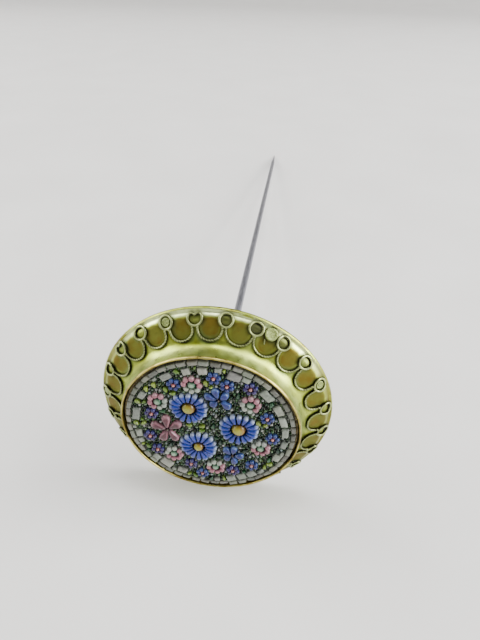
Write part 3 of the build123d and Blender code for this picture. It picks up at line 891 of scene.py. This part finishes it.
def make_lip():
    """The rolled lip: a thin half-round band along the collar's top, a little uneven."""
    low, high = head_box("bezel_lip")
    middle = high[0] - LIP_WIDTH / 2
    rows = []
    for step in range(LIP_STEPS + 1):
        turn = math.pi * step / LIP_STEPS
        row = []
        for angle in round_angles(LIP_SEGMENTS):
            waver = 1 + LIP_WAVER * noise.noise(Vector((*polar(3, angle), 5)))
            x, y = polar(middle + LIP_WIDTH / 2 * math.cos(turn), angle)
            rise = LIP_RISE * (high[2] - low[2]) * math.sin(turn) * waver
            row.append((x, y, low[2] - LIP_SINK + rise))
        rows.append(row)
    rows.append([(x, y, z - LIP_SKIRT) for x, y, z in rows[-1]])
    pile = Pile()
    pile.add_grid(rows)
    pile.make("lip_rolled", "wear_and_shade", lip_material(), ["bezel_lip"])


def make_discs():
    """The discs inside some rings, and the larger one between two: domes with rolled edges."""
    material = disc_material()
    for node in ("ring_discs", "trefoil_disc"):
        pile = Pile()
        for points in solids(node):
            middle, outward, sideways, normal = ring_frame(points)
            radius = np.abs((points - middle) @ sideways).max()
            half = np.abs((points - middle) @ normal).max()
            rows = []
            for reach, height in DISC_PROFILE:
                row = []
                for angle in round_angles(DISC_SEGMENTS):
                    x, y = polar(radius * reach, angle)
                    row.append(middle + x * outward + y * sideways + height * half * normal)
                rows.append(row)
            last = pile.add_grid(rows) + (len(rows) - 1) * DISC_SEGMENTS
            pile.add_cap(last, DISC_SEGMENTS, middle + DISC_PROFILE[-1][1] * half * normal)
        pile.make(node + "_pitted", "wear_and_shade", material, [node])


# The mosaic


def top_outline(points, count=OUTLINE_POINTS):
    """Evenly spaced points round a glass piece's flat top, and its bottom and top heights."""
    low, high = points[:, 2].min(), points[:, 2].max()
    top = points[points[:, 2] > high - 0.01][:, :2]
    middle = top.mean(0)
    order = np.argsort(np.arctan2(top[:, 1] - middle[1], top[:, 0] - middle[0]))
    loop = np.vstack([top[order], top[order][:1]])
    lengths = np.concatenate([[0], np.cumsum(np.linalg.norm(np.diff(loop, axis=0), axis=1))])
    wanted = np.linspace(0, lengths[-1], count, endpoint=False)
    outline = np.column_stack([np.interp(wanted, lengths, loop[:, axis]) for axis in (0, 1)])
    return outline, low, high


def add_glass(pile, outline, low, high, paint, shape=PILLOW, sink=0.0, lean=0.05, streak=0.12):
    """A piece of glass with a rounded top. paint gives the colour from the place and the inset."""
    middle = outline.mean(0)
    slope = np.array([chance.uniform(-lean, lean), chance.uniform(-lean, lean)])
    streaks = [1 + chance.uniform(-streak, streak) for _ in outline]
    base = low - ROOT_DEPTH
    rise = high - sink - base
    rows, values = [], []
    for scale, level in shape:
        row, row_values = [], []
        shade = FLANK_SHADE + (1 - FLANK_SHADE) * min(1.0, level / FLANK_TOP)
        for point, tone in zip(outline, streaks):
            place = middle + scale * (point - middle)
            tilt = (place - middle) @ slope * level
            row.append((place[0], place[1], base + rise * level + tilt))
            row_values.append(tuple(shade * tone * c for c in paint(place, 1 - scale)))
        rows.append(row)
        values.append(row_values)
    start = pile.add_grid(rows, values)
    last = start + (len(shape) - 1) * len(outline)
    pile.add_cap(last, len(outline), (middle[0], middle[1], base + rise), paint(middle, 1.0))


def blend(first, second, part):
    return tuple(a + clamped(part) * (b - a) for a, b in zip(first, second))


def varied(colour, amount):
    """A colour a little lighter or darker, and a little off in hue, by chance."""
    level = 1 + chance.uniform(-amount, amount)
    return tuple(max(0.0, c * level * (1 + chance.uniform(-amount, amount) / 3)) for c in colour)


def centres(node):
    return [tuple((points.min(0) + points.max(0))[:2] / 2) for points in solids(node)]


def grown(outline, factor):
    """An outline made larger or smaller about its middle."""
    middle = outline.mean(0)
    return middle + factor * (outline - middle)


def make_petals(node, heart_places, tones, tip_start=0.68, rim_width=0.3, grow=1.03):
    """Petals coloured from their flower's heart to their tips, and lighter round their rims."""
    pile = Pile()
    for points in solids(node):
        outline, low, high = top_outline(points, PETAL_POINTS)
        outline = grown(outline, grow)
        middle = outline.mean(0)
        home = min(heart_places, key=lambda place: math.dist(place, middle))
        reaches = [math.dist(home, point) for point in outline]
        near, far = min(reaches), max(reaches)
        root, core, rim, tip = [varied(colour, 0.12) for colour in tones]

        def paint(place, inset):
            part = (math.dist(home, place) - near) / (far - near)
            colour = blend(rim, core, inset / rim_width)
            colour = blend(colour, tip, (part - tip_start) / (1 - tip_start))
            return blend(root, colour, part / PETAL_ROOT)

        add_glass(pile, outline, low, high, paint, sink=chance.uniform(0, 0.05), streak=0.18)
    pile.make(node + "_glass", "tint", GLASS, [node])


def make_eyes(node, slot, edge, middle_tone, crown, highlight_shift=0.0, grow=1.0):
    """Round domes, from a dark edge to a light crown that is a painted highlight. glow moves the
    painted highlight to the left.
    """
    pile = Pile()
    for points in solids(node):
        outline, low, high = top_outline(points, EYE_POINTS)
        outline = grown(outline, grow)
        middle = outline.mean(0)
        radius = math.dist(middle, outline[0])
        tones = [varied(colour, 0.1) for colour in (edge, middle_tone, crown)]

        def paint(place, inset):
            aside = highlight_shift * (middle[0] - place[0] + 0.5 * (place[1] - middle[1])) / radius
            colour = blend(tones[0], tones[1], inset / 0.25)
            return blend(colour, tones[2], (inset + aside - 0.25) / 0.45)

        add_glass(pile, outline, low, high, paint, DOME)
    pile.make(node + "_glass", "tint", GLASS, [node])


def make_blocks(node, colours, spread, sink, grow=1.0, edge=0.75):
    """Cut blocks, each of one colour by chance, darker at the edge."""
    pile = Pile()
    for points in solids(node):
        outline, low, high = top_outline(points, BLOCK_POINTS)
        middle = outline.mean(0)
        rough = [grow * chance.uniform(*BLOCK_UNEVEN) for _ in outline]
        outline = np.array([middle + r * (point - middle) for r, point in zip(rough, outline)])
        tone = varied(chance.choice(colours), spread)

        def paint(place, inset):
            return blend(tuple(edge * c for c in tone), tone, inset / BLOCK_RIM)

        add_glass(pile, outline, low, high, paint, sink=chance.uniform(0, sink), lean=0.1)
    pile.make(node + "_glass", "tint", GLASS, [node])


def cover(mask, outline, limit):
    """Mark the cells of a square grid that a convex outline covers."""
    size = mask.shape[0]
    low = np.floor((outline.min(0) + limit) / CHIP_GRID).astype(int) - 1
    high = np.ceil((outline.max(0) + limit) / CHIP_GRID).astype(int) + 1
    low, high = np.clip(low, 0, size), np.clip(high, 0, size)
    xs = np.arange(low[0], high[0]) * CHIP_GRID - limit
    ys = np.arange(low[1], high[1]) * CHIP_GRID - limit
    grid_x, grid_y = np.meshgrid(xs, ys, indexing="ij")
    inside = np.ones(grid_x.shape, bool)
    for start, end in zip(outline, np.roll(outline, -1, axis=0)):
        side = end - start
        cross = side[0] * (grid_y - start[1]) - side[1] * (grid_x - start[0])
        inside &= cross >= -1e-9
    mask[low[0] : high[0], low[1] : high[1]] |= inside


CHIP_COLOURS = [
    (0.25, 0.29, 0.23), (0.12, 0.19, 0.1), (0.06, 0.14, 0.04), (0.33, 0.36, 0.31),
    (0.02, 0.05, 0.02), (0.015, 0.025, 0.015), (0.11, 0.17, 0.05),
]


def add_chip(pile, middle, radius, floor):
    """One chip of glass: a small uneven stub of a colour by chance."""
    first = chance.uniform(0, FULL_TURN)
    outline = []
    for turn in round_angles(CHIP_SIDES):
        reach = radius * chance.uniform(*CHIP_UNEVEN)
        outline.append(middle + np.array(polar(reach, first + turn)))
    tone = varied(chance.choice(CHIP_COLOURS), 0.2)
    top = floor + chance.uniform(*CHIP_TOPS)
    add_glass(pile, np.array(outline), floor, top, lambda place, inset: tone, lean=0.2)


def make_chips():
    """Chips of glass pressed into the cement wherever the larger pieces leave room."""
    _, tray_high = head_box("mastic_bed")
    limit, floor = tray_high[0], tray_high[2]
    size = int(2 * limit / CHIP_GRID) + 1
    axis = np.arange(size) * CHIP_GRID - limit
    grid_x, grid_y = np.meshgrid(axis, axis, indexing="ij")
    taken = np.hypot(grid_x, grid_y) > limit - CHIP_MARGIN
    for subpart in frame["record"]["subparts"]:
        if subpart["material_slot"].endswith("_glass"):
            for points in solids(subpart["node"]):
                cover(taken, top_outline(points)[0], limit)
    pile = Pile()
    for radius in CHIP_RADII:
        cells = math.ceil(radius / CHIP_GRID)
        steps = range(cells, size - cells, 2)
        spots = [(i, j) for i in steps for j in steps]
        chance.shuffle(spots)
        for i, j in spots:
            window = (slice(i - cells, i + cells + 1), slice(j - cells, j + cells + 1))
            near = np.hypot(grid_x[window] - axis[i], grid_y[window] - axis[j])
            near = near <= radius + 0.5 * CHIP_GRID
            if (taken[window] & near).any():
                continue
            taken[window] |= near
            add_chip(pile, np.array((axis[i], axis[j])), radius, floor)
    pile.make("ground_chips", "tint", GLASS, [])


def make_cement():
    """The cement's rough surface, which dips and swells between the glass."""
    low, high = head_box("mastic_bed")
    level = high[2] + CEMENT_RISE
    rows = []
    for ring in range(1, CEMENT_RINGS + 1):
        reach = high[0] * ring / CEMENT_RINGS
        row = []
        for angle in round_angles(CEMENT_SEGMENTS):
            x, y = polar(reach, angle)
            swell = CEMENT_SWELL * noise.noise(Vector((CEMENT_SCALE * x, CEMENT_SCALE * y, 0.3)))
            row.append((x, y, level + swell))
        rows.append(row)
    rows.append([(x, y, low[2]) for x, y, _ in rows[-1]])
    pile = Pile()
    pile.add_grid(rows)
    pile.add_cap(0, CEMENT_SEGMENTS, (0, 0, level), flip=True)
    pile.make("cement_ground", "", cement_material(), ["mastic_bed"])


def make_mosaic():
    """Every flower, leaf and block."""
    daisy_blue = ((0.006, 0.008, 0.11), (0.008, 0.03, 0.35), (0.07, 0.15, 0.58), (0.5, 0.58, 0.72))
    # Each eye's last colour is its crown's painted highlight.
    amber = ((0.09, 0.03, 0.003), (0.27, 0.15, 0.004), (0.42, 0.41, 0.015))
    for name in ("daisy_upper_left", "daisy_right", "daisy_lower"):
        places = centres(name + "_eye")
        make_petals(name + "_petals", places, daisy_blue, 0.72)
        make_eyes(name + "_eye", "amber_glass", *amber, highlight_shift=0.35)
    hearts = centres("flower_centres")
    plum = ((0.03, 0.003, 0.009), (0.09, 0.008, 0.02), (0.56, 0.27, 0.33), (0.54, 0.27, 0.32))
    make_petals("lily_petals", hearts, plum, 0.85, 0.42, 1.08)
    violet = ((0.005, 0.007, 0.07), (0.004, 0.01, 0.17), (0.1, 0.18, 0.5), (0.18, 0.28, 0.58))
    for name in ("violet_upper_petals", "violet_lower_petals"):
        make_petals(name, hearts, violet, 0.85, 0.4, 1.05)
    bronze = ((0.012, 0.008, 0.012), (0.05, 0.025, 0.02), (0.12, 0.09, 0.03))
    make_eyes("flower_centres", "plum_glass", *bronze)
    places = centres("rosette_eyes")
    pink = ((0.2, 0.045, 0.07), (0.42, 0.15, 0.2), (0.55, 0.28, 0.32), (0.58, 0.36, 0.38))
    make_petals("rosette_pink_petals", places, pink, grow=1.2)
    white = ((0.17, 0.25, 0.17), (0.4, 0.45, 0.37), (0.5, 0.53, 0.45), (0.54, 0.55, 0.48))
    make_petals("rosette_white_petals", places, white, grow=1.2)
    sage = ((0.006, 0.035, 0.014), (0.03, 0.14, 0.06), (0.36, 0.5, 0.34))
    make_eyes("rosette_eyes", "sage_glass", *sage, highlight_shift=0.25)
    places = centres("button_eyes")
    navy = ((0.006, 0.008, 0.05), (0.01, 0.018, 0.17), (0.06, 0.09, 0.36), (0.1, 0.17, 0.42))
    make_petals("button_blue_petals", places, navy, grow=1.1)
    purple = ((0.02, 0.004, 0.035), (0.03, 0.012, 0.11), (0.09, 0.05, 0.24), (0.08, 0.09, 0.3))
    make_petals("button_purple_petals", places, purple, grow=1.1)
    coral = ((0.26, 0.035, 0.05), (0.56, 0.16, 0.15), (0.72, 0.38, 0.32))
    make_eyes("button_eyes", "coral_glass", *coral, grow=1.2)
    light = [(0.17, 0.28, 0.02), (0.27, 0.38, 0.05), (0.1, 0.2, 0.015)]
    make_blocks("light_leaves", light, 0.15, 0.08)
    dark = [(0.008, 0.06, 0.014), (0.016, 0.1, 0.025), (0.006, 0.03, 0.01)]
    make_blocks("dark_leaves", dark, 0.15, 0.08)
    greys = [(0.15, 0.155, 0.12), (0.21, 0.215, 0.17), (0.12, 0.125, 0.095), (0.25, 0.26, 0.2)]
    make_blocks("border_blocks", greys, 0.14, 0.12, 1.16, 0.92)
    pales = [(0.27, 0.3, 0.24), (0.22, 0.25, 0.2), (0.36, 0.38, 0.31), (0.25, 0.25, 0.22)]
    make_blocks("inner_blocks", pales, 0.1, 0.1, 1.07)
    whites = [(0.36, 0.4, 0.36), (0.46, 0.48, 0.44), (0.27, 0.33, 0.32)]
    make_blocks("white_filling", whites, 0.14, 0.15)
    greens = [(0.13, 0.24, 0.1), (0.2, 0.31, 0.17), (0.06, 0.15, 0.05)]
    make_blocks("green_filling", greens, 0.2, 0.15)
    darks = [(0.01, 0.035, 0.014), (0.02, 0.06, 0.025), (0.008, 0.012, 0.01)]
    make_blocks("dark_filling", darks, 0.2, 0.15)


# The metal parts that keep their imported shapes


def finish_metal():
    finishes = {
        "edge_wire": brass_material("gilt_edge", 0.3),
        "mosaic_tray": tray_material(),
        "back_plate": back_material(),
        "socket_washer": brass_material("gilt_washer", 0.6),
        "pin_socket": brass_material("gilt_socket", 0.7),
        "pin_stem": steel_material(),
    }
    for node, material in finishes.items():
        mesh = frame["nodes"][node].data
        mesh.materials.clear()
        mesh.materials.append(material)


# Camera, floor and light. FOOT is the point on the floor under the head's middle.

FOOT = Vector((HEAD.translation.x, HEAD.translation.y, 0))


def make_camera():
    data = bpy.data.cameras.new("camera")
    data.lens = CAMERA_LENS
    data.sensor_width = SENSOR
    data.clip_start = 0.005
    camera = bpy.data.objects.new("camera", data)
    azimuth, elevation = math.radians(CAMERA_AZIMUTH), math.radians(CAMERA_ELEVATION)
    right = Vector((*polar(1, azimuth), 0))
    level = Vector((-right.y, right.x, 0))
    forward = level * math.cos(elevation) - Vector((0, 0, math.sin(elevation)))
    right.rotate(Matrix.Rotation(-math.radians(CAMERA_ROLL), 3, forward))
    up = right.cross(forward)
    camera.matrix_world = Matrix((right, up, -forward)).transposed().to_4x4()
    camera.location = FOOT + Vector((*CAMERA_OFFSET, CAMERA_HEIGHT)) * MM
    bpy.context.scene.collection.objects.link(camera)
    bpy.context.scene.camera = camera


def make_floor():
    """A round floor that curves up into a wall far away, so that it has no visible end."""
    profile = [(0.1, 0.0), (FLOOR_RADIUS, 0.0)]
    for step in range(1, SWEEP_STEPS + 1):
        turn = math.pi / 2 * step / SWEEP_STEPS
        radius = FLOOR_RADIUS + SWEEP_RADIUS * math.sin(turn)
        profile.append((radius, SWEEP_RADIUS * (1 - math.cos(turn))))
    profile.append((FLOOR_RADIUS + SWEEP_RADIUS, WALL_TOP))
    angles = round_angles(SWEEP_SEGMENTS)
    pile = Pile()
    rows = [[(*polar(radius, angle), height) for angle in angles] for radius, height in profile]
    pile.add_grid(rows)
    pile.add_cap(0, SWEEP_SEGMENTS, (0, 0, 0), flip=True)
    floor = pile.build("floor", pile.corners, floor_material())


def add_light(name, place, width, height, radiance):
    """A rectangular soft light that faces the head, equally bright all over."""
    data = bpy.data.lights.new(name, "AREA")
    data.shape = "RECTANGLE"
    data.size = width
    data.size_y = height
    data.energy = radiance * math.pi * width * height
    light = bpy.data.objects.new(name, data)
    light.location = FOOT + Vector(place)
    aim = HEAD.translation - light.location
    light.rotation_mode = "QUATERNION"
    light.rotation_quaternion = aim.to_track_quat("-Z", "Y")
    bpy.context.scene.collection.objects.link(light)


def make_lights():
    add_light("high_left", (-0.75, 0.35, 1.25), 0.5, 0.5, 7.0)
    add_light("high_right", (0.75, 0.35, 1.25), 0.5, 0.5, 7.0)
    add_light("overhead", (0.0, 0.15, 1.3), 0.45, 0.45, 11.5)
    add_light("left", (-0.90, 0.12, 0.50), 0.8, 0.55, 10.0)
    add_light("right", (0.95, -0.02, 0.36), 0.9, 0.45, 16.5)
    add_light("right_high", (0.9, 0.06, 0.8), 0.6, 0.6, 11.0)
    world = bpy.data.worlds.new("studio")
    world.use_nodes = True
    background = world.node_tree.nodes["Background"]
    background.inputs["Color"].default_value = (0.96, 0.97, 1.0, 1)
    background.inputs["Strength"].default_value = 0.12
    bpy.context.scene.world = world


GLASS = glass_material()
make_camera()
make_floor()
make_lights()
paths = wire_paths()
make_wires(*paths)
make_face(*paths)
make_lip()
make_discs()
make_mosaic()
make_chips()
make_cement()
finish_metal()
